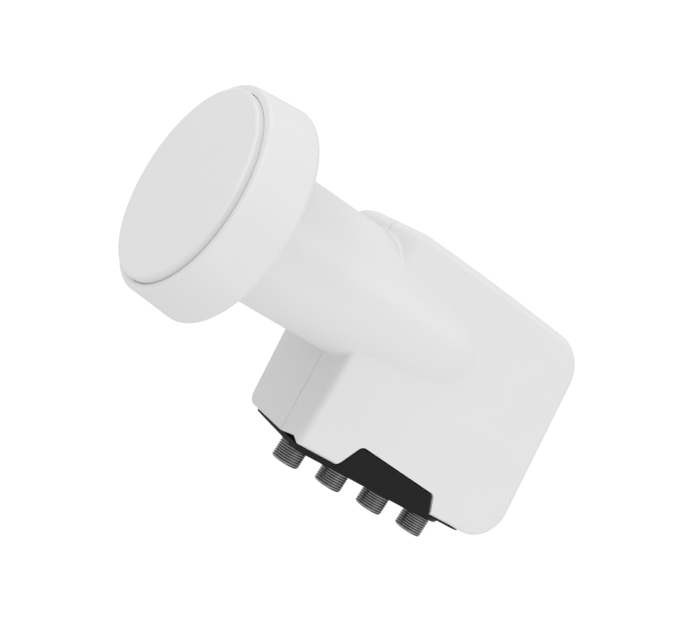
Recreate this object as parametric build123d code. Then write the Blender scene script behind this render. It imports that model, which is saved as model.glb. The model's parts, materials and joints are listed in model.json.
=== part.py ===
from build123d import *
import os

# Satellite LNB with four outputs, in millimetres.
# Frame: +X forward along the feed axis, +Z up, sockets down, +Y the side with the notch.
# The origin lies on the feed axis, in the middle of the neck that the dish arm clamps.

# Neck, held by the dish arm's clamp between the housing and the cap
NECK_R = 20.0
NECK_BACK = -11.5
BULGE_END, BULGE_TAPER = -42.0, 0.2
BULGE_TIP, BULGE_TIP_R = -58.0, 17.2
ROOT_ROUND = 0.8
WALL = 2.0

# Cap and window
CAP_FRONT, CAP_BACK = 47.0, 30.6
CAP_RIM_R, CAP_SKIRT_R = 31.5, 33.6
CAP_WALL = 2.2
CAP_ROUND = 2.0
RIM_ROUND = 0.9
CAP_GAP = 0.5
SPIGOT_STEP, SPIGOT_LENGTH = 0.4, 5.9
SLEEVE_WALL, SLEEVE_LENGTH = 2.4, 7.4
WINDOW_R, WINDOW_FRONT, WINDOW_ROUND = 29.0, 49.25, 0.8
WINDOW_FACE = 1.8
WINDOW_GAP = 0.15
WINDOW_DEPTH = 1.7
LEDGE_WIDTH, LEDGE_DEPTH = 1.8, 2.2
LIP_WALL, LIP_FIT = 1.4, 0.1
RING_R, RING_SECTION = 24.8, 0.9
RING_LAND = 1.8

# Housing planes: each lean is millimetres of shift per millimetre of height or length
FRONT_X, FRONT_LEAN = -15.5, 0.082
REAR_X, REAR_LEAN = -92.2, 0.20
TOP_Z, TOP_DROP = 24.6, 2.1
BOTTOM_Z = -46.8
NEAR_Y, NEAR_DRAFT, NEAR_WEDGE = 14.4, 0.069, 0.10
FAR_Y, FAR_DRAFT = 25.8, 0.045
TOP_FRONT_ROUND = 2.6
TOP_REAR_ROUND = 14.5
LOW_REAR_ROUND = 10.5
NEAR_ROUND = 2.0
FAR_TOP_ROUND = 16.0
FAR_LOW_ROUND = 3.5
SEAM_WIDTH, SEAM_DEPTH = 0.3, 0.15

# Notch in the near shell's lower edge: X of its feet and of its top corners, and its heights above the edge
NOTCH_FEET, NOTCH_SKIRT = (-33.9, -73.8), 0.5
NOTCH_TOPS = [(-38.1, 9.0), (-69.9, 6.5)]
NOTCH_ROUND = 2.2
RELIEF_PEAK, RELIEF_RISE, RELIEF_END, RELIEF_BACK = 7.5, 1.6, 11.5, 2.6

# Socket row: four F sockets, 3/8-32 thread
SOCKET_COUNT = 4
SOCKET_X, SOCKET_DX = -31.5, -15.95
SOCKET_Y, SOCKET_DY = -6.6, 3.73
SOCKET_R, SOCKET_THREAD = 4.7, 6.8
SOCKET_BORE = 3.4
SHOULDER_R, SHOULDER_PROUD = 5.2, 0.1
SOCKET_FIT = 0.1
FLANGE_R, FLANGE_LOW = 6.2, -43.0
SHANK_R, SHANK_TOP, SHANK_BORE = 3.9, -39.2, 1.6
INSULATOR_SUNK, CONTACT_SUNK = 0.6, 1.6
CONTACT_R, CONTACT_BORE, CONTACT_DEEP = 0.75, 0.45, 6.0
TAIL_R, TAIL_TOP = 0.5, -34.5

# Base
SLAB_DEPTH, SLAB_TILT, SLAB_THIN = 1.3, 0.03, 0.4
SLAB_INSET = 0.6
PLUG_RISE = 1.9
OPEN_REAR, OPEN_FAR = -86.0, -18.0
SLAB_REAR_LAP, SLAB_FAR_LAP = 4.2, 2.4
SLAB_FAR_ROUND, SLAB_NEAR_ROUND = 4.0, 7.0
BASE_FIT = 0.1
BOSS_R, BOSS_TIP_R, BOSS_DEPTH = 8.0, 6.2, 2.5
SEAL_R, SEAL_LOW = 6.0, -45.8
UPSTAND_RISE = 12.0
UPSTAND_OUT, UPSTAND_WALL, UPSTAND_LAP = 0.15, 1.1, 3.75
UPSTAND_SUNK, UPSTAND_GAP, UPSTAND_ROUND = 0.2, 0.15, 0.9

# Cast chassis
GUIDE_R, GUIDE_BORE = 11.0, 9.0
GUIDE_END, GUIDE_SHORT = -62.0, 2.0
HORN_PLATE, HORN_DEPTH = 2.0, 2.4
HORN_RINGS = [(15.0, 16.5), (19.6, 21.1), (24.0, 25.6)]
COLLARS = [(28.0, 31.0), (-9.0, -6.0)]
TUB_INSET, TUB_WALL = 3.4, 2.0
TUB_FRONT, TUB_REAR = -22.0, -87.0
TUB_LOW, TUB_TOP = -41.2, 19.8
TUB_RIM = -18.8
LID_THICK = 1.5
SCREWS = [(-27.5, 13.5), (-27.5, -35.5), (-55.0, -27.0), (-83.0, -20.0), (-72.0, 14.0), (-41.0, 14.0)]
SCREW_BOSS, SCREW_R, SCREW_LENGTH = 3.0, 1.25, 9.5
SCREW_HEAD_R, SCREW_HEAD = 2.6, 1.2
SCREW_FIT = 0.2
POSTS = [(-28.0, -22.0), (-82.0, -32.0), (-66.5, 15.5)]
POST_R = 2.0

# Board and its parts
BOARD_NEAR, BOARD_THICK = -12.0, 1.6
BOARD_GAP = 1.0
BOARD_FRONT, BOARD_REAR = -25.6, -84.0
BOARD_LOW, BOARD_TOP = -37.8, 16.8
PROBE_R = 0.6
PROBE_TIP = 2.5
PROBE_H_X, PROBE_V_X, PROBE_V_Z = -54.0, -47.0, 13.0
PROBE_HOLE = 1.5
CAN_X, CAN_Z, CAN_DEPTH, CAN_WALL = (-66.0, -38.0), (-12.0, 10.0), 3.4, 0.4
PLL_AT, PLL_SIDE = (-52.0, -5.0), 5.0
SWITCH_AT, SWITCH_SIDE = (-44.5, -22.0), 7.0
REGULATOR_AT, REGULATOR_SIDE, REGULATOR_HIGH = (-70.75, -20.75), 6.5, 2.3
CHIP_HIGH = 0.9

# Places that follow from the sizes above
NECK_BORE = NECK_R - WALL
SPIGOT_R = NECK_R - SPIGOT_STEP
NECK_STEP = CAP_BACK - CAP_GAP
NECK_FRONT = NECK_STEP + SPIGOT_LENGTH
WINDOW_BACK = CAP_FRONT - WINDOW_DEPTH
LEDGE_R = WINDOW_R + WINDOW_GAP - LEDGE_WIDTH
LEDGE_BACK = WINDOW_BACK - LEDGE_DEPTH
HORN_FRONT = WINDOW_BACK - 2 * RING_SECTION
SLAB_LOW = BOTTOM_Z - SLAB_DEPTH
BOSS_LOW = BOTTOM_Z - BOSS_DEPTH
PLUG_TOP = BOTTOM_Z + PLUG_RISE
SHOULDER_LOW = BOSS_LOW - SHOULDER_PROUD
SOCKET_END = SHOULDER_LOW - SOCKET_THREAD
LID_BACK = TUB_RIM - LID_THICK
BOARD_FAR = BOARD_NEAR - BOARD_THICK


def box(x0, x1, y0, y1, z0, z1):
    middle = Pos((x0 + x1) / 2, (y0 + y1) / 2, (z0 + z1) / 2)
    return middle * Box(abs(x1 - x0), abs(y1 - y0), abs(z1 - z0))


def rod_x(radius, x0, x1, y=0.0, z=0.0):
    return Pos((x0 + x1) / 2, y, z) * Rot(0, 90, 0) * Cylinder(radius, abs(x1 - x0))


def rod_y(radius, y0, y1, x=0.0, z=0.0):
    return Pos(x, (y0 + y1) / 2, z) * Rot(90, 0, 0) * Cylinder(radius, abs(y1 - y0))


def rod_z(radius, z0, z1, x=0.0, y=0.0):
    return Pos(x, y, (z0 + z1) / 2) * Cylinder(radius, abs(z1 - z0))


def face_of(points):
    return make_face(Polyline(*points, close=True))


def rounded(sketch, point, radius):
    """Round the sketch's corner nearest to the point."""
    corner = sketch.vertices().sort_by_distance((point[0], point[1], 0))[0]
    return fillet(corner, radius)


def upright(shape, x, y):
    """The shape's steep edge nearest to a place in plan."""
    steep = [e for e in shape.edges() if abs((e @ 1 - e @ 0).Z) > 0.9 * e.length]
    return ShapeList(steep).sort_by_distance((x, y, (steep[0] @ 0.5).Z))[0]


def near_plane(inset):
    return Plane(origin=(FRONT_X, NEAR_Y - inset, 0), z_dir=(NEAR_WEDGE, 1, -NEAR_DRAFT))


def side_prism(inset, drop):
    """The housing's outline seen from the side, drawn in by inset, its underside lowered by drop."""
    top = TOP_Z - inset
    rear = top - TOP_DROP
    low = BOTTOM_Z - drop
    front_low = (FRONT_X - inset + FRONT_LEAN * low, low)
    front_top = (FRONT_X - inset + FRONT_LEAN * top, top)
    rear_top = (REAR_X + inset + REAR_LEAN * rear, rear)
    rear_low = (REAR_X + inset + REAR_LEAN * low, low)
    middle = ((front_top[0] + rear_top[0]) / 2, top - TOP_DROP / 4)
    straight = Polyline(front_top, front_low, rear_low, rear_top)
    outline = make_face(straight + ThreePointArc(rear_top, middle, front_top))
    outline = rounded(outline, front_top, max(TOP_FRONT_ROUND - inset, 0.5))
    outline = rounded(outline, rear_top, TOP_REAR_ROUND - inset)
    if drop <= 0:
        outline = rounded(outline, rear_low, LOW_REAR_ROUND + drop)
    return extrude(Plane.XZ * outline, amount=45, both=True)


def far_prism(inset, drop):
    """The housing's outline seen from the front, open towards the near side."""
    top = TOP_Z - inset
    low = BOTTOM_Z - drop
    far_top = (-(FAR_Y - inset + FAR_DRAFT * top), top)
    far_low = (-(FAR_Y - inset + FAR_DRAFT * low), low)
    outline = face_of([far_low, (45, low), (45, top), far_top])
    outline = rounded(outline, far_top, max(FAR_TOP_ROUND - inset, 1.0))
    if drop <= 0:
        outline = rounded(outline, far_low, FAR_LOW_ROUND + drop)
    return extrude(Plane.YZ * outline, amount=130, both=True)


def body_block(inset, drop):
    """Housing block without the neck, every side drawn in by inset."""
    block = split(side_prism(inset, drop), bisect_by=near_plane(inset), keep=Keep.BOTTOM)
    if inset == 0:
        rim = [e for e in block.edges() if near_plane(0).contains(e @ 0.5, 1e-3)]
        rim = [e for e in rim if (e @ 0.5).Z > BOTTOM_Z + 0.01]
        block = fillet(rim, NEAR_ROUND)
    return block & far_prism(inset, drop)


# Shells
bulge_start, bulge_end = (NECK_BACK, NECK_R), (BULGE_END, NECK_R - BULGE_TAPER)
bulge_tip = (BULGE_TIP, BULGE_TIP_R)
bulge_side = Line(bulge_start, bulge_end)
bulge_tail = TangentArc(bulge_end, bulge_tip, tangent=bulge_side % 1)
bulge_core = Polyline(bulge_tip, (BULGE_TIP, 0), (NECK_BACK, 0), bulge_start)
bulge = revolve(make_face(bulge_side + bulge_tail + bulge_core), axis=Axis.X)
neck = rod_x(NECK_R, NECK_BACK, NECK_STEP) + rod_x(SPIGOT_R, NECK_STEP, NECK_FRONT)
outer = body_block(0, 0) + bulge
root = [e for e in outer.edges() if e.geom_type in (GeomType.ELLIPSE, GeomType.BSPLINE)]
root = [e for e in root if BULGE_TIP_R < (e @ 0.5).cross(Vector(1, 0, 0)).length < NECK_R]
outer = fillet(root, ROOT_ROUND) + neck
inner = body_block(WALL, -WALL) + rod_x(NECK_BORE, NECK_FRONT + 1, BULGE_END)
below = BOTTOM_Z - 20
opening = body_block(WALL, 8) & box(OPEN_REAR, 0, OPEN_FAR, 40, below, BOTTOM_Z + WALL + 1)
groove_core = body_block(SEAM_DEPTH, 8) + rod_x(NECK_R + SEAM_WIDTH, NECK_FRONT + 1, BULGE_END)
seam_slab = box(-130, FRONT_X + 10, -SEAM_WIDTH / 2, SEAM_WIDTH / 2, below, TOP_Z + 10)
housing = outer - inner - opening - ((outer - groove_core) & seam_slab)

far_shell = housing & box(-130, 60, -60, 0, -80, 60)
near_half = housing & box(-130, 60, 0, 60, -80, 60)
notch_corners = [(x, BOTTOM_Z + rise) for x, rise in NOTCH_TOPS]
notch_feet = [(x, BOTTOM_Z - NOTCH_SKIRT) for x in NOTCH_FEET]
notch = face_of([notch_feet[0], *notch_corners, notch_feet[1]])
for corner in notch_corners:
    notch = rounded(notch, corner, NOTCH_ROUND)
notch_cut = extrude(Plane.XZ * notch, amount=-40)
relief_peak = (RELIEF_PEAK, BOTTOM_Z + RELIEF_RISE)
relief = face_of([(0, below), (0, BOTTOM_Z), relief_peak, (RELIEF_END, BOTTOM_Z), (RELIEF_END, below)])
relief_x = FRONT_X + FRONT_LEAN * BOTTOM_Z - RELIEF_BACK
relief_cut = Pos(relief_x, 0, 0) * extrude(Plane.YZ * relief, amount=10)
near_shell = near_half - notch_cut - relief_cut

# Cap
seat_r = WINDOW_R + WINDOW_GAP
sleeve_r = SPIGOT_R + SLEEVE_WALL
sleeve_front = CAP_BACK + SLEEVE_LENGTH
shroud = face_of([
    (CAP_FRONT, seat_r), (CAP_FRONT, CAP_RIM_R), (CAP_BACK, CAP_SKIRT_R), (CAP_BACK, SPIGOT_R),
    (sleeve_front, SPIGOT_R), (sleeve_front, sleeve_r), (CAP_BACK + CAP_WALL, sleeve_r),
    (CAP_BACK + CAP_WALL, CAP_SKIRT_R - CAP_WALL), (LEDGE_BACK, CAP_RIM_R - CAP_WALL),
    (LEDGE_BACK, LEDGE_R), (WINDOW_BACK, LEDGE_R), (WINDOW_BACK, seat_r),
])
shroud = rounded(shroud, (CAP_BACK, CAP_SKIRT_R), CAP_ROUND)
shroud = rounded(shroud, (CAP_FRONT, CAP_RIM_R), RIM_ROUND)
cap_shroud = revolve(shroud, axis=Axis.X)

lip_r = LEDGE_R - LIP_FIT
land_r = RING_R - RING_LAND
window = face_of([
    (WINDOW_FRONT, 0), (WINDOW_FRONT, WINDOW_R), (WINDOW_BACK, WINDOW_R), (WINDOW_BACK, lip_r),
    (LEDGE_BACK, lip_r), (LEDGE_BACK, lip_r - LIP_WALL), (WINDOW_BACK, lip_r - LIP_WALL),
    (WINDOW_BACK, land_r), (WINDOW_FRONT - WINDOW_FACE, land_r), (WINDOW_FRONT - WINDOW_FACE, 0),
])
feed_window = revolve(rounded(window, (WINDOW_FRONT, WINDOW_R), WINDOW_ROUND), axis=Axis.X)
window_seal = Pos(WINDOW_BACK - RING_SECTION, 0, 0) * Rot(0, 90, 0) * Torus(RING_R, RING_SECTION)

# Sockets
socket_places = [(SOCKET_X + i * SOCKET_DX, SOCKET_Y + i * SOCKET_DY) for i in range(SOCKET_COUNT)]


def socket_at(x, y):
    barrel = rod_z(SOCKET_R, SOCKET_END, SHOULDER_LOW, x, y)
    barrel += rod_z(SHOULDER_R, SHOULDER_LOW, FLANGE_LOW, x, y)
    barrel += rod_z(FLANGE_R, FLANGE_LOW, TUB_LOW, x, y)
    barrel += rod_z(SHANK_R, TUB_LOW, SHANK_TOP, x, y)
    barrel -= rod_z(SOCKET_BORE, SOCKET_END - 1, FLANGE_LOW, x, y)
    return barrel - rod_z(SHANK_BORE, FLANGE_LOW - 1, SHANK_TOP + 1, x, y)


def insulator_at(x, y):
    low = SOCKET_END + INSULATOR_SUNK
    return rod_z(SOCKET_BORE, low, FLANGE_LOW, x, y) - rod_z(CONTACT_R, low - 1, FLANGE_LOW + 1, x, y)


def contact_at(x, y):
    low = SOCKET_END + CONTACT_SUNK
    pin = rod_z(CONTACT_R, low, FLANGE_LOW, x, y) - rod_z(CONTACT_BORE, low - 1, low + CONTACT_DEEP, x, y)
    tail = rod_z(TAIL_R, FLANGE_LOW, TAIL_TOP, x, y) + Pos(x, y, TAIL_TOP) * Sphere(TAIL_R)
    return pin + tail + rod_y(TAIL_R, y, BOARD_FAR, x, TAIL_TOP)


# Base
slab_rear, slab_far = OPEN_REAR - SLAB_REAR_LAP, OPEN_FAR - SLAB_FAR_LAP
slab = body_block(SLAB_INSET, 8) & box(slab_rear, 0, slab_far, 40, below, BOTTOM_Z)
slab = fillet(upright(slab, slab_rear, 40), SLAB_NEAR_ROUND)
slab = fillet(upright(slab, 0, slab_far), SLAB_FAR_ROUND)
underside = Plane(origin=(0, 0, SLAB_LOW), z_dir=(0, SLAB_TILT, 1))
slab = split(slab, bisect_by=underside, keep=Keep.TOP)
slab -= box(slab_rear - 1, NOTCH_FEET[1], -40, 40, below, BOTTOM_Z - SLAB_THIN)
plug = body_block(WALL + BASE_FIT, 8) & box(
    OPEN_REAR + BASE_FIT, 0, OPEN_FAR + BASE_FIT, 40, BOTTOM_Z, PLUG_TOP
)
upstand_out = WALL + UPSTAND_OUT
upstand = body_block(upstand_out, 8) - body_block(upstand_out + UPSTAND_WALL, 8)
upstand = upstand & box(
    NOTCH_FEET[1] - UPSTAND_LAP, NOTCH_FEET[0] + UPSTAND_LAP, 4, 40, PLUG_TOP, BOTTOM_Z + UPSTAND_RISE
)
panel = body_block(UPSTAND_SUNK, 8) - body_block(upstand_out + UPSTAND_WALL, 8)
panel = panel & extrude(Plane.XZ * offset(notch, -UPSTAND_GAP), amount=-40)
panel_rim = [e for e in panel.edges() if near_plane(UPSTAND_SUNK).contains(e @ 0.5, 1e-3)]
panel = fillet([e for e in panel_rim if (e @ 0.5).Z > BOTTOM_Z], UPSTAND_ROUND)
socket_base = slab + plug + upstand + panel
for x, y in socket_places:
    socket_base += Pos(x, y, (BOTTOM_Z + BOSS_LOW) / 2) * Cone(BOSS_TIP_R, BOSS_R, BOSS_DEPTH)
for x, y in socket_places:
    socket_base -= rod_z(SHOULDER_R + SOCKET_FIT, SOCKET_END, FLANGE_LOW, x, y)
    socket_base -= rod_z(SEAL_R, SEAL_LOW, FLANGE_LOW, x, y)
socket_seals = [
    rod_z(SEAL_R, SEAL_LOW, FLANGE_LOW, x, y) - rod_z(SHOULDER_R, SOCKET_END, TUB_LOW, x, y)
    for x, y in socket_places
]

# Chassis
tub_out = body_block(TUB_INSET, 0) & box(TUB_REAR, TUB_FRONT, TUB_RIM, 40, TUB_LOW, TUB_TOP)
tub_in = body_block(TUB_INSET + TUB_WALL, 8) & box(
    TUB_REAR + TUB_WALL, TUB_FRONT - TUB_WALL, -40, 40, TUB_LOW + TUB_WALL, TUB_TOP - TUB_WALL
)
chassis = tub_out - tub_in
pillars = [rod_y(SCREW_BOSS, TUB_RIM, 30, x, z) for x, z in SCREWS]
pillars += [rod_y(POST_R, BOARD_NEAR, 30, x, z) for x, z in POSTS]
for pillar in pillars:
    chassis += pillar & tub_out
chassis += rod_x(GUIDE_R, HORN_FRONT, GUIDE_END)
horn_floor = HORN_FRONT - HORN_DEPTH
chassis += rod_x(HORN_RINGS[-1][1], horn_floor - HORN_PLATE, horn_floor)
for ring_in, ring_out in HORN_RINGS:
    chassis += rod_x(ring_out, horn_floor, HORN_FRONT) - rod_x(ring_in, horn_floor, HORN_FRONT)
for x0, x1 in COLLARS:
    chassis += rod_x(NECK_BORE, x0, x1)
chassis -= rod_x(GUIDE_BORE, HORN_FRONT + 1, GUIDE_END + GUIDE_SHORT)
chassis -= rod_y(PROBE_HOLE, -GUIDE_R - 1, 0, PROBE_H_X, 0)
chassis -= rod_z(PROBE_HOLE, 0, GUIDE_R + 1, PROBE_V_X, 0)
for x, z in SCREWS:
    chassis -= rod_y(SCREW_R, TUB_RIM - 1, LID_BACK + SCREW_LENGTH, x, z)
for x, y in socket_places:
    chassis -= rod_z(SHANK_R, TUB_LOW - 1, TUB_LOW + TUB_WALL, x, y)

lid = body_block(TUB_INSET, 0) & box(TUB_REAR, TUB_FRONT, LID_BACK, TUB_RIM, TUB_LOW, TUB_TOP)
lid_screws = []
for x, z in SCREWS:
    lid -= rod_y(SCREW_R + SCREW_FIT, LID_BACK - 1, TUB_RIM + 1, x, z)
    shank = rod_y(SCREW_R, LID_BACK, LID_BACK + SCREW_LENGTH, x, z)
    lid_screws.append(shank + rod_y(SCREW_HEAD_R, LID_BACK - SCREW_HEAD, LID_BACK, x, z))

# Board
rf_board = body_block(TUB_INSET + TUB_WALL + BOARD_GAP, 8) & box(
    BOARD_REAR, BOARD_FRONT, BOARD_FAR, BOARD_NEAR, BOARD_LOW, BOARD_TOP
)
through = (BOARD_FAR - 1, BOARD_NEAR + 1)
for x, z in SCREWS:
    rf_board -= rod_y(SCREW_BOSS + SCREW_FIT, *through, x, z)
for x, y in socket_places:
    rf_board -= rod_y(TAIL_R, *through, x, TAIL_TOP)
rf_board -= rod_y(PROBE_R, *through, PROBE_H_X, 0)
rf_board -= rod_y(PROBE_R, *through, PROBE_V_X, PROBE_V_Z)
probe_horizontal = rod_y(PROBE_R, BOARD_FAR, -PROBE_TIP, PROBE_H_X, 0)
probe_vertical = rod_y(PROBE_R, BOARD_FAR, 0, PROBE_V_X, PROBE_V_Z)
probe_vertical += Pos(PROBE_V_X, 0, PROBE_V_Z) * Sphere(PROBE_R)
probe_vertical += rod_z(PROBE_R, PROBE_V_Z, PROBE_TIP, PROBE_V_X, 0)


def chip_at(place, side, height):
    x, z = place
    half = side / 2
    return box(x - half, x + half, BOARD_FAR - height, BOARD_FAR, z - half, z + half)


shield_can = box(*CAN_X, BOARD_FAR - CAN_DEPTH, BOARD_FAR, *CAN_Z)
can_inside_x = (CAN_X[0] + CAN_WALL, CAN_X[1] - CAN_WALL)
can_inside_z = (CAN_Z[0] + CAN_WALL, CAN_Z[1] - CAN_WALL)
shield_can -= box(*can_inside_x, BOARD_FAR - CAN_DEPTH + CAN_WALL, BOARD_FAR + 1, *can_inside_z)
pll_chip = chip_at(PLL_AT, PLL_SIDE, CHIP_HIGH)
switch_chip = chip_at(SWITCH_AT, SWITCH_SIDE, CHIP_HIGH)
regulator = chip_at(REGULATOR_AT, REGULATOR_SIDE, REGULATOR_HIGH)

parts = {
    "feed_window": feed_window,
    "window_seal": window_seal,
    "cap_shroud": cap_shroud,
    "near_shell": near_shell,
    "far_shell": far_shell,
    "socket_base": socket_base,
    "socket_seals": Compound(children=socket_seals),
    "chassis": chassis,
    "chassis_lid": lid,
    "lid_screws": Compound(children=lid_screws),
    "rf_board": rf_board,
    "probe_horizontal": probe_horizontal,
    "probe_vertical": probe_vertical,
    "shield_can": shield_can,
    "pll_chip": pll_chip,
    "switch_chip": switch_chip,
    "regulator": regulator,
}
for i, (x, y) in enumerate(socket_places):
    parts[f"socket_{i + 1}"] = socket_at(x, y)
    parts[f"insulator_{i + 1}"] = insulator_at(x, y)
    parts[f"contact_{i + 1}"] = contact_at(x, y)

os.makedirs("parts", exist_ok=True)
for name, shape in parts.items():
    export_step(shape, f"parts/{name}.step")
    print(name, len(shape.solids()), round(shape.volume / 1000, 3), "cm3")
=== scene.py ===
"""Looks of a satellite LNB with four outputs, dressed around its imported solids.

Everything is in metres, in the solids' own frame: +X forward along the feed axis, +Z up, +Y the side with the notch.
"""

import json
import logging
import math
from dataclasses import dataclass, field
from enum import Enum

import bmesh
import bpy
from mathutils import Matrix, Vector

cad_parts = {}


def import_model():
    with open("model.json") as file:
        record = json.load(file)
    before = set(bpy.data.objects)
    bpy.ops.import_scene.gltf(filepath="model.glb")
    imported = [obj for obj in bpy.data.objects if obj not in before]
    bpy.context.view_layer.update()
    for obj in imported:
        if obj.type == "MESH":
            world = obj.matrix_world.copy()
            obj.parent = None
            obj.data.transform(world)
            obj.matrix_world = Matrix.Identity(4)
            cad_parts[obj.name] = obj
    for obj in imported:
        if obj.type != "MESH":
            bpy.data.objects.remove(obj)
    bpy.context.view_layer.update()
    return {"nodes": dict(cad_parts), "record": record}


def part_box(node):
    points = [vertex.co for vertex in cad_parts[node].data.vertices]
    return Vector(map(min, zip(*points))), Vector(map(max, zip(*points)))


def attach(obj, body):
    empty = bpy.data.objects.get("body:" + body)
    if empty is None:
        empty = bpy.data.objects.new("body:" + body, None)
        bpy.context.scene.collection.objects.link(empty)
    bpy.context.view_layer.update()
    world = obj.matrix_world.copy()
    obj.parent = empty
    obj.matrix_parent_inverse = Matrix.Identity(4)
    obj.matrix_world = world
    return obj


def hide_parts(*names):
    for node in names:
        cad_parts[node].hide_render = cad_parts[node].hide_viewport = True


LOG = logging.getLogger("satellite_lnb")
MM = 0.001
BODY = "root"

# Distance in metres within which points are one, and the angle from which an edge stays sharp
WELD = 1e-6
SHARP_ANGLE = math.radians(55)

# Thread form: flat crest and bevel as shares of the pitch, and the bevel's foot as a share of the depth
CREST_SHARE = 1 / 3
BEVEL_SHARE = 0.3
BEVEL_FOOT = 0.5

# Detail of the noise in the colour and in the relief, and the mix node's sockets for colours
CLOUD_DETAIL, GRAIN_DETAIL = 3.0, 2.0
MIX_FIRST, MIX_SECOND, MIX_RESULT = 6, 7, 2


def linear(hex_code: str) -> tuple[float, float, float, float]:
    """Turn an sRGB hex colour into linear light.

    Args:
        hex_code: Six hex digits, with or without a leading hash.

    Returns:
        Red, green, blue and an alpha of one.
    """
    digits = hex_code.lstrip("#")
    channels = [int(digits[i : i + 2], 16) / 255 for i in (0, 2, 4)]
    red, green, blue = (c / 12.92 if c <= 0.04045 else ((c + 0.055) / 1.055) ** 2.4 for c in channels)
    return red, green, blue, 1.0


def per_metre(size_mm: float) -> float:
    """Texture scale that gives one feature in that many millimetres."""
    return 1.0 / (size_mm * MM)


def add_node(
    tree: bpy.types.NodeTree,
    kind: str,
    settings: dict[str, object] | None = None,
    inputs: dict[str | int, object] | None = None,
) -> bpy.types.Node:
    """Add a node, set its properties, and set or link its inputs.

    Args:
        tree: The tree that gets the node.
        kind: Blender's name of the node type.
        settings: Properties of the node by name.
        inputs: Values, or output sockets to link, by input name or number.

    Returns:
        The new node.
    """
    node = tree.nodes.new(kind)
    for name, value in (settings or {}).items():
        setattr(node, name, value)
    for key, value in (inputs or {}).items():
        if isinstance(value, bpy.types.NodeSocket):
            tree.links.new(value, node.inputs[key])
        else:
            node.inputs[key].default_value = value
    return node


class Relief(Enum):
    """How a surface was made, as the stretch of its fine grain along X, Y and Z."""

    SMOOTH = None
    MOULDED = (1.0, 1.0, 1.0)
    CAST = (0.6, 0.6, 0.6)
    ROLLED = (0.08, 1.0, 1.0)


@dataclass(frozen=True)
class Finish:
    """One surface finish, as the shader and its fine relief.

    Attributes:
        name: The material's common name.
        slot: The record's material slot.
        colour: Main sRGB colour.
        shade: Second sRGB colour, of the faint cloudy variation.
        roughness: Middle of the roughness over the surface.
        relief: How the surface was made.
        grain_mm: Size of one grain of the relief.
        relief_mm: Depth of the relief.
        rough_spread: How much the roughness varies over the surface.
        metallic: One for a bare metal.
        specular: Specular level, where 0.5 is the plain IOR.
        ior: Index of refraction, for what is no metal.
        cloud_mm: Size of the cloudy variation.
    """

    name: str
    slot: str
    colour: str
    shade: str
    roughness: float
    relief: Relief = Relief.SMOOTH
    grain_mm: float = 0.5
    relief_mm: float = 0.004
    rough_spread: float = 0.06
    metallic: float = 0.0
    specular: float = 0.5
    ior: float = 1.5
    cloud_mm: float = 18.0

    def build(self) -> bpy.types.Material:
        """Make the material.

        Returns:
            The finished material.
        """
        material = bpy.data.materials.new(self.name)
        material.use_nodes = True
        tree = material.node_tree
        tree.nodes.clear()
        place = add_node(tree, "ShaderNodeTexCoord").outputs["Object"]
        shader = add_node(
            tree,
            "ShaderNodeBsdfPrincipled",
            inputs={"Metallic": self.metallic, "Specular IOR Level": self.specular},
        )
        if not self.metallic:
            shader.inputs["IOR"].default_value = self.ior
        add_node(tree, "ShaderNodeOutputMaterial", inputs={"Surface": shader.outputs["BSDF"]})
        self.colour_nodes(tree, shader, place)
        if self.relief is not Relief.SMOOTH:
            self.relief_nodes(tree, shader, place)
        return material

    def colour_nodes(self, tree: bpy.types.NodeTree, shader: bpy.types.Node, place: bpy.types.NodeSocket) -> None:
        """Give the shader its slightly cloudy colour and roughness.

        Args:
            tree: The material's tree.
            shader: The shader that is fed.
            place: Object coordinates.
        """
        cloud = add_node(
            tree,
            "ShaderNodeTexNoise",
            inputs={"Vector": place, "Scale": per_metre(self.cloud_mm), "Detail": CLOUD_DETAIL},
        ).outputs["Fac"]
        mix = add_node(
            tree,
            "ShaderNodeMix",
            {"data_type": "RGBA"},
            {"Factor": cloud, MIX_FIRST: linear(self.colour), MIX_SECOND: linear(self.shade)},
        )
        tree.links.new(mix.outputs[MIX_RESULT], shader.inputs["Base Color"])
        rough = add_node(
            tree,
            "ShaderNodeMapRange",
            inputs={
                "Value": cloud,
                "To Min": self.roughness - self.rough_spread / 2,
                "To Max": self.roughness + self.rough_spread / 2,
            },
        )
        tree.links.new(rough.outputs["Result"], shader.inputs["Roughness"])

    def relief_nodes(self, tree: bpy.types.NodeTree, shader: bpy.types.Node, place: bpy.types.NodeSocket) -> None:
        """Give the shader its fine relief.

        Args:
            tree: The material's tree.
            shader: The shader that is fed.
            place: Object coordinates.
        """
        drawn = add_node(tree, "ShaderNodeMapping", inputs={"Vector": place, "Scale": self.relief.value})
        grain = add_node(
            tree,
            "ShaderNodeTexNoise",
            inputs={
                "Vector": drawn.outputs["Vector"],
                "Scale": per_metre(self.grain_mm),
                "Detail": GRAIN_DETAIL,
            },
        ).outputs["Fac"]
        bump = add_node(
            tree,
            "ShaderNodeBump",
            inputs={"Height": grain, "Strength": 1.0, "Distance": self.relief_mm * MM},
        )
        tree.links.new(bump.outputs["Normal"], shader.inputs["Normal"])


# White ASA moulded against a spark-eroded tool: a flat neutral white with a soft broad sheen
HOUSING_WHITE = Finish("white_asa_satin", "white_housing", "#E3E3E3", "#E0E0E0", 0.42, Relief.MOULDED)
# White polypropylene moulded against a polished tool: smoother, and a touch greyer than the cap
WINDOW_WHITE = Finish("white_polypropylene", "white_window", "#E1E1E1", "#DEDEDE", 0.42)
# Black glass-filled polyamide: deep black with a weak sheen, from a grain coarse enough to show
BASE_BLACK = Finish(
    "black_polyamide", "black_base", "#0C0C0D", "#09090A", 0.4, Relief.MOULDED, 0.4, 0.004, specular=0.19
)
# Black nickel over turned brass: dark grey metal
SOCKET_NICKEL = Finish("black_nickel_plate", "nickel", "#9F9F9F", "#919191", 0.32, metallic=1.0, cloud_mm=3.0)
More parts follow.
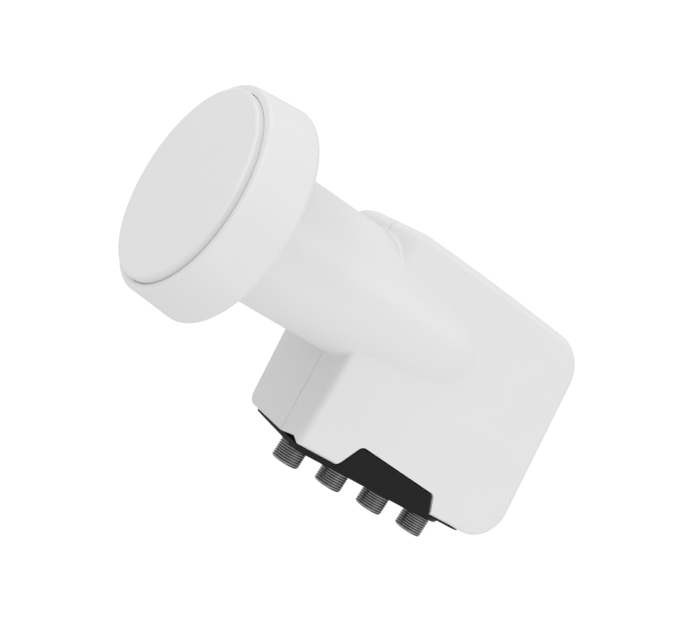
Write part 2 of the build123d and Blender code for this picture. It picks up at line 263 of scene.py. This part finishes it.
# Silicone rubber: matt black
SEAL_RUBBER = Finish("silicone_rubber", "seal_rubber", "#202020", "#181818", 0.7)
# Aluminium pressure casting: pale grey with a fine grain
CAST_ALLOY = Finish(
    "cast_aluminium", "cast_alloy", "#B9BABC", "#A6A7A9", 0.45, Relief.CAST, 0.6, 0.02, metallic=1.0
)
# Zinc on steel screws: bright grey
SCREW_ZINC = Finish("zinc_plated_steel", "screw_steel", "#BDBDBB", "#A9A9A6", 0.3, metallic=1.0)
# Tinned steel sheet: bright, with the mill's lines along it
TINNED_SHEET = Finish(
    "tinned_steel", "tinned_sheet", "#CFCFCB", "#BDBDB8", 0.28, Relief.ROLLED, 0.3, 0.003, metallic=1.0
)
# Solder mask on laminate: dark green lacquer
BOARD_LACQUER = Finish("green_solder_mask", "laminate", "#1F5B36", "#184D2C", 0.35)
# Natural polyacetal: milky white
SOCKET_INSULATOR = Finish("natural_polyacetal", "insulator", "#DCDAD2", "#D2D0C8", 0.45)
# Turned brass: bright yellow
CONTACT_BRASS = Finish("turned_brass", "contact_brass", "#C9A55C", "#B8924A", 0.25, metallic=1.0)
# Moulding resin of the chips: dull black
CHIP_RESIN = Finish("epoxy_resin", "chip_resin", "#262626", "#1E1E1E", 0.55, Relief.MOULDED, 0.2)
FINISHES = [
    HOUSING_WHITE,
    WINDOW_WHITE,
    BASE_BLACK,
    SOCKET_NICKEL,
    SEAL_RUBBER,
    CAST_ALLOY,
    SCREW_ZINC,
    TINNED_SHEET,
    BOARD_LACQUER,
    SOCKET_INSULATOR,
    CONTACT_BRASS,
    CHIP_RESIN,
]


@dataclass
class ThreadedSocket:
    """The barrel of an F socket with its 3/8-32 thread.

    Attributes:
        node: The solid that the barrel stands for.
        pitch_mm: Thread pitch, 32 turns to the inch.
        depth_mm: Depth of the thread.
        turns: Turns of the thread, in whole rows.
        segments: Points round the barrel.
        rows_per_turn: Rows of points in one turn, so many that rows lie on the crest's edges.
        thread_top_mm: Height of the shoulder, where the thread ends.
        flange_low_mm: Height of the flange's lower face.
        flange_top_mm: Height of the flange's upper face.
        shank_top_mm: Height of the shank's end, inside the housing.
        barrel_r_mm: Radius over the thread's crests.
        shoulder_r_mm: Radius of the plain stretch above the thread.
        bore_r_mm: Radius of the bore round the insulator.
        flange_r_mm: Radius of the flange.
        shank_r_mm: Radius of the shank.
        shank_bore_mm: Radius of the hole through the shank.
        centre: The socket's axis, in metres.
        end_mm: Height of the free end.
        start_mm: Height of the thread's start, above the bevel at the free end.
    """

    node: str
    pitch_mm: float = 25.4 / 32
    depth_mm: float = 0.45
    turns: float = 25 / 3
    segments: int = 96
    rows_per_turn: int = 6
    thread_top_mm: float = -49.4
    flange_low_mm: float = -43.0
    flange_top_mm: float = -41.2
    shank_top_mm: float = -39.2
    barrel_r_mm: float = 4.7
    shoulder_r_mm: float = 5.2
    bore_r_mm: float = 3.4
    flange_r_mm: float = 6.2
    shank_r_mm: float = 3.9
    shank_bore_mm: float = 1.6
    centre: Vector = field(init=False)
    end_mm: float = field(init=False)
    start_mm: float = field(init=False)

    def __post_init__(self) -> None:
        """Read the socket's axis and free end off the solid."""
        low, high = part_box(self.node)
        self.centre = Vector(((low.x + high.x) / 2, (low.y + high.y) / 2, 0))
        self.end_mm = low.z / MM
        self.start_mm = self.thread_top_mm - self.turns * self.pitch_mm

    def profile(self) -> list[tuple[float, float]]:
        """Radius and height along the turned surfaces that carry no thread.

        Returns:
            Points in millimetres, from the thread's far end round to its free end.
        """
        return [
            (self.barrel_r_mm, self.thread_top_mm),
            (self.shoulder_r_mm, self.thread_top_mm),
            (self.shoulder_r_mm, self.flange_low_mm),
            (self.flange_r_mm, self.flange_low_mm),
            (self.flange_r_mm, self.flange_top_mm),
            (self.shank_r_mm, self.flange_top_mm),
            (self.shank_r_mm, self.shank_top_mm),
            (self.shank_bore_mm, self.shank_top_mm),
            (self.shank_bore_mm, self.flange_low_mm),
            (self.bore_r_mm, self.flange_low_mm),
            (self.bore_r_mm, self.end_mm),
            (self.barrel_r_mm - self.depth_mm, self.end_mm),
            (self.barrel_r_mm - self.depth_mm * BEVEL_FOOT, self.start_mm),
        ]

    def turned(self) -> bpy.types.Object:
        """Turn the plain surfaces as a mesh round the socket's axis.

        Returns:
            An object with the plain surfaces, open where the thread goes.
        """
        mesh = bpy.data.meshes.new(f"{self.node}_turned")
        shape = bmesh.new()
        rings = []
        for radius, height in self.profile():
            ring = []
            for i in range(self.segments):
                angle = 2 * math.pi * i / self.segments
                point = Vector((radius * math.cos(angle), radius * math.sin(angle), height)) * MM
                ring.append(shape.verts.new(point + self.centre))
            rings.append(ring)
        for a, b in zip(rings, rings[1:]):
            for i in range(self.segments):
                j = (i + 1) % self.segments
                shape.faces.new((a[i], a[j], b[j], b[i]))
        shape.to_mesh(mesh)
        shape.free()
        thing = bpy.data.objects.new(f"{self.node}_threaded", mesh)
        bpy.context.scene.collection.objects.link(thing)
        return thing

    def build(self, tree: bpy.types.NodeTree, material: bpy.types.Material) -> bpy.types.Object:
        """Make the whole barrel.

        Args:
            tree: The thread's node tree.
            material: The plating.

        Returns:
            The finished piece.
        """
        thing = self.turned()
        modifier = thing.modifiers.new("thread", "NODES")
        modifier.node_group = tree
        sizes = {
            "Crest Radius": self.barrel_r_mm * MM,
            "Depth": self.depth_mm * MM,
            "Pitch": self.pitch_mm * MM,
            "Length": self.turns * self.pitch_mm * MM,
            "Start": self.centre + Vector((0, 0, self.start_mm * MM)),
            "Segments": self.segments,
            "Rows": round(self.rows_per_turn * (self.turns + 1)) + 1,
            "Material": material,
        }
        for item in tree.interface.items_tree:
            if item.in_out == "INPUT" and item.name in sizes:
                modifier[item.identifier] = sizes[item.name]
        return plain_mesh(thing)


def plain_mesh(thing: bpy.types.Object) -> bpy.types.Object:
    """Turn an object's modifiers into a plain mesh with outward faces.

    Args:
        thing: The object with its modifiers.

    Returns:
        The same object with the finished mesh.
    """
    view = bpy.context.evaluated_depsgraph_get()
    mesh = bpy.data.meshes.new_from_object(thing.evaluated_get(view))
    thing.modifiers.clear()
    shape = bmesh.new()
    shape.from_mesh(mesh)
    bmesh.ops.remove_doubles(shape, verts=shape.verts, dist=WELD)
    bmesh.ops.recalc_face_normals(shape, faces=shape.faces)
    shape.to_mesh(mesh)
    shape.free()
    thing.data = mesh
    mesh.shade_smooth()
    mesh.set_sharp_from_angle(angle=SHARP_ANGLE)
    return thing


def thread_tree() -> bpy.types.NodeTree:
    """Build the tree that winds a thread round a barrel and joins it to the turned surfaces.

    Returns:
        The node tree, with its sizes as named inputs.
    """
    tree = bpy.data.node_groups.new("wound_thread", "GeometryNodeTree")
    face = tree.interface
    face.new_socket("Geometry", in_out="INPUT", socket_type="NodeSocketGeometry")
    for name in ("Crest Radius", "Depth", "Pitch", "Length"):
        face.new_socket(name, in_out="INPUT", socket_type="NodeSocketFloat")
    face.new_socket("Start", in_out="INPUT", socket_type="NodeSocketVector")
    for name in ("Segments", "Rows"):
        face.new_socket(name, in_out="INPUT", socket_type="NodeSocketInt")
    face.new_socket("Material", in_out="INPUT", socket_type="NodeSocketMaterial")
    face.new_socket("Geometry", in_out="OUTPUT", socket_type="NodeSocketGeometry")
    given = add_node(tree, "NodeGroupInput").outputs

    def math_of(operation: str, *values: object) -> bpy.types.NodeSocket:
        """One arithmetic step on the given values."""
        step = add_node(tree, "ShaderNodeMath", {"operation": operation}, dict(enumerate(values)))
        return step.outputs[0]

    def ramp(value: object, low: object, high: object, first: float, last: float) -> bpy.types.NodeSocket:
        """A value that goes from first to last while the given one goes from low to high, and stays there."""
        ends = {"From Min": low, "From Max": high, "To Min": first, "To Max": last}
        return add_node(tree, "ShaderNodeMapRange", inputs={"Value": value, **ends}).outputs["Result"]

    round_count = math_of("ADD", given["Segments"], 1.0)
    grid = add_node(
        tree,
        "GeometryNodeMeshGrid",
        inputs={"Size X": 1.0, "Size Y": 1.0, "Vertices X": round_count, "Vertices Y": given["Rows"]},
    )
    where = add_node(tree, "GeometryNodeInputPosition")
    spot = add_node(tree, "ShaderNodeSeparateXYZ", inputs={0: where.outputs[0]})
    turn = math_of("ADD", spot.outputs["X"], 0.5)
    share = math_of("ADD", spot.outputs["Y"], 0.5)
    climb = math_of("MULTIPLY", share, math_of("ADD", given["Length"], given["Pitch"]))
    phase = math_of("FRACT", math_of("DIVIDE", climb, given["Pitch"]))
    wound_up = math_of("ADD", climb, math_of("MULTIPLY", math_of("SUBTRACT", turn, 1.0), given["Pitch"]))
    height = math_of("MINIMUM", math_of("MAXIMUM", wound_up, 0.0), given["Length"])
    ridge = math_of("ABSOLUTE", math_of("SUBTRACT", math_of("MULTIPLY", phase, 2.0), 1.0))
    flats = ramp(ridge, CREST_SHARE, 1.0, 0.0, 1.0)
    bevel = math_of("MULTIPLY", given["Pitch"], BEVEL_SHARE)
    run_in = ramp(height, 0.0, bevel, BEVEL_FOOT, 0.0)
    run_start = ramp(height, 0.0, bevel, 0.0, 1.0)
    run_out = ramp(math_of("SUBTRACT", given["Length"], height), 0.0, given["Pitch"], 0.0, 1.0)
    cut = math_of("MULTIPLY", math_of("MULTIPLY", flats, run_out), run_start)
    sunk = math_of("MAXIMUM", cut, run_in)
    radius = math_of("SUBTRACT", given["Crest Radius"], math_of("MULTIPLY", sunk, given["Depth"]))
    angle = math_of("MULTIPLY", turn, 2 * math.pi)
    wound = add_node(
        tree,
        "ShaderNodeCombineXYZ",
        inputs={
            "X": math_of("MULTIPLY", radius, math_of("COSINE", angle)),
            "Y": math_of("MULTIPLY", radius, math_of("SINE", angle)),
            "Z": height,
        },
    )
    placed = add_node(
        tree, "ShaderNodeVectorMath", {"operation": "ADD"}, {0: wound.outputs[0], 1: given["Start"]}
    )
    coil = add_node(
        tree, "GeometryNodeSetPosition", inputs={"Geometry": grid.outputs["Mesh"], "Position": placed.outputs[0]}
    )
    joined = add_node(tree, "GeometryNodeJoinGeometry")
    tree.links.new(given["Geometry"], joined.inputs[0])
    tree.links.new(coil.outputs[0], joined.inputs[0])
    closed = add_node(
        tree, "GeometryNodeMergeByDistance", inputs={"Geometry": joined.outputs[0], "Distance": WELD}
    )
    real = add_node(tree, "GeometryNodeRealizeInstances", inputs={"Geometry": closed.outputs[0]})
    dressed = add_node(
        tree, "GeometryNodeSetMaterial", inputs={"Geometry": real.outputs[0], "Material": given["Material"]}
    )
    add_node(tree, "NodeGroupOutput", inputs={"Geometry": dressed.outputs[0]})
    return tree


@dataclass
class Wardrobe:
    """The finishes by the record's material slots."""

    materials: dict[str, bpy.types.Material] = field(default_factory=dict)

    def sew(self) -> None:
        """Make every finish."""
        for finish in FINISHES:
            self.materials[finish.slot] = finish.build()

    def dress(self, nodes: dict[str, bpy.types.Object], record: dict) -> None:
        """Give every solid the finish of its slot.

        Args:
            nodes: The solids by name.
            record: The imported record.
        """
        for part in record["subparts"]:
            slots = nodes[part["node"]].data.materials
            slots.clear()
            slots.append(self.materials[part["material_slot"]])
            LOG.info("%s wears %s", part["node"], part["material_slot"])


@dataclass(frozen=True)
class PhotoCamera:
    """The camera that took the photograph, found from the standard neck and sockets.

    Attributes:
        eye: Where it stands, in metres.
        right: The picture's right in the object's frame.
        down: The picture's down in the object's frame.
        lens_mm: Focal length.
        film_mm: Width of the film.
        near_m: Nearest distance that it sees.
    """

    eye: tuple[float, float, float] = (0.16662, 0.27095, -0.00352)
    right: tuple[float, float, float] = (-0.70598, 0.46474, 0.53443)
    down: tuple[float, float, float] = (-0.43683, 0.30823, -0.84508)
    lens_mm: float = 58.24
    film_mm: float = 36.0
    near_m: float = 0.01

    def build(self) -> None:
        """Make it the scene's camera."""
        data = bpy.data.cameras.new("photo_camera")
        data.lens = self.lens_mm
        data.sensor_width = self.film_mm
        data.clip_start = self.near_m
        camera = bpy.data.objects.new("photo_camera", data)
        right = Vector(self.right).normalized()
        back = right.cross(-Vector(self.down)).normalized()
        up = back.cross(right)
        turned = Matrix((right, up, back)).transposed().to_4x4()
        camera.matrix_world = Matrix.Translation(Vector(self.eye)) @ turned
        bpy.context.scene.collection.objects.link(camera)
        bpy.context.scene.camera = camera


@dataclass(frozen=True)
class Lamp:
    """A square soft lamp.

    Attributes:
        name: What it is called.
        place: Where it hangs, in metres.
        size: Its side, in metres.
        power: Its power, in watts.
    """

    name: str
    place: tuple[float, float, float]
    size: float
    power: float


@dataclass(frozen=True)
class Studio:
    """A plain white studio with soft light.

    Attributes:
        floor_z: Height of the floor, well below the hanging object.
        floor_size: Side of the floor.
        floor_colour: Its sRGB colour.
        fill: Strength of the even light from all round.
        sheet: Strength of the white sheet that the camera sees behind the object.
        lamps: The soft lamps.
    """

    floor_z: float = -1.2
    floor_size: float = 40.0
    floor_colour: str = "#F5F5F5"
    fill: float = 0.8
    sheet: float = 1.05
    lamps: tuple[Lamp, ...] = (
        Lamp("top_softbox", (0.35, -0.05, 1.0), 0.9, 1.75),
        Lamp("front_softbox", (1.0, 0.25, 0.45), 0.35, 2.3),
        Lamp("side_softbox", (-0.57, 0.82, 0.45), 0.4, 1.2),
        Lamp("low_softbox", (-0.25, 0.80, -0.60), 0.8, 1.7),
    )

    def build(self) -> None:
        """Make the floor, the lamps and the even light."""
        bpy.context.scene.view_settings.view_transform = "Standard"
        self.floor()
        for lamp in self.lamps:
            self.hang(lamp)
        self.surround()

    def floor(self) -> None:
        """Lay the pale floor."""
        bpy.ops.mesh.primitive_plane_add(size=self.floor_size, location=(0, 0, self.floor_z))
        floor = bpy.context.object
        floor.name = "studio_floor"
        material = bpy.data.materials.new("pale_floor")
        material.use_nodes = True
        tree = material.node_tree
        tree.nodes.clear()
        matt = add_node(tree, "ShaderNodeBsdfDiffuse", inputs={"Color": linear(self.floor_colour)})
        white = add_node(tree, "ShaderNodeEmission", inputs={"Strength": self.sheet})
        seen = add_node(tree, "ShaderNodeLightPath").outputs["Is Camera Ray"]
        mix = add_node(tree, "ShaderNodeMixShader", inputs={0: seen, 1: matt.outputs[0], 2: white.outputs[0]})
        add_node(tree, "ShaderNodeOutputMaterial", inputs={"Surface": mix.outputs[0]})
        floor.data.materials.append(material)

    def hang(self, lamp: Lamp) -> None:
        """Hang one soft lamp, turned to the object.

        Args:
            lamp: The lamp's place, size and power.
        """
        data = bpy.data.lights.new(lamp.name, "AREA")
        data.energy = lamp.power
        data.size = lamp.size
        thing = bpy.data.objects.new(lamp.name, data)
        thing.location = lamp.place
        thing.rotation_euler = (-Vector(lamp.place)).to_track_quat("-Z", "Y").to_euler()
        bpy.context.scene.collection.objects.link(thing)

    def surround(self) -> None:
        """Light evenly from all round, with a white background."""
        world = bpy.data.worlds.new("white_studio")
        bpy.context.scene.world = world
        world.use_nodes = True
        tree = world.node_tree
        tree.nodes.clear()
        white = linear("#FFFFFF")
        light = add_node(tree, "ShaderNodeBackground", inputs={"Color": white, "Strength": self.fill})
        sheet = add_node(tree, "ShaderNodeBackground", inputs={"Color": white, "Strength": self.sheet})
        path = add_node(tree, "ShaderNodeLightPath")
        mix = add_node(
            tree,
            "ShaderNodeMixShader",
            inputs={0: path.outputs["Is Camera Ray"], 1: light.outputs[0], 2: sheet.outputs[0]},
        )
        add_node(tree, "ShaderNodeOutputWorld", inputs={"Surface": mix.outputs[0]})


def main() -> None:
    """Load the solids, dress them and set the studio up."""
    logging.basicConfig(level=logging.INFO, format="%(name)s: %(message)s")
    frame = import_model()
    wardrobe = Wardrobe()
    wardrobe.sew()
    wardrobe.dress(frame["nodes"], frame["record"])
    tree = thread_tree()
    for name in sorted(n for n in frame["nodes"] if n.startswith("socket_") and n[-1].isdigit()):
        piece = ThreadedSocket(name).build(tree, wardrobe.materials[SOCKET_NICKEL.slot])
        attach(piece, BODY)
        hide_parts(name)
        LOG.info("made %s", piece.name)
    PhotoCamera().build()
    Studio().build()


if __name__ == "__main__":
    main()
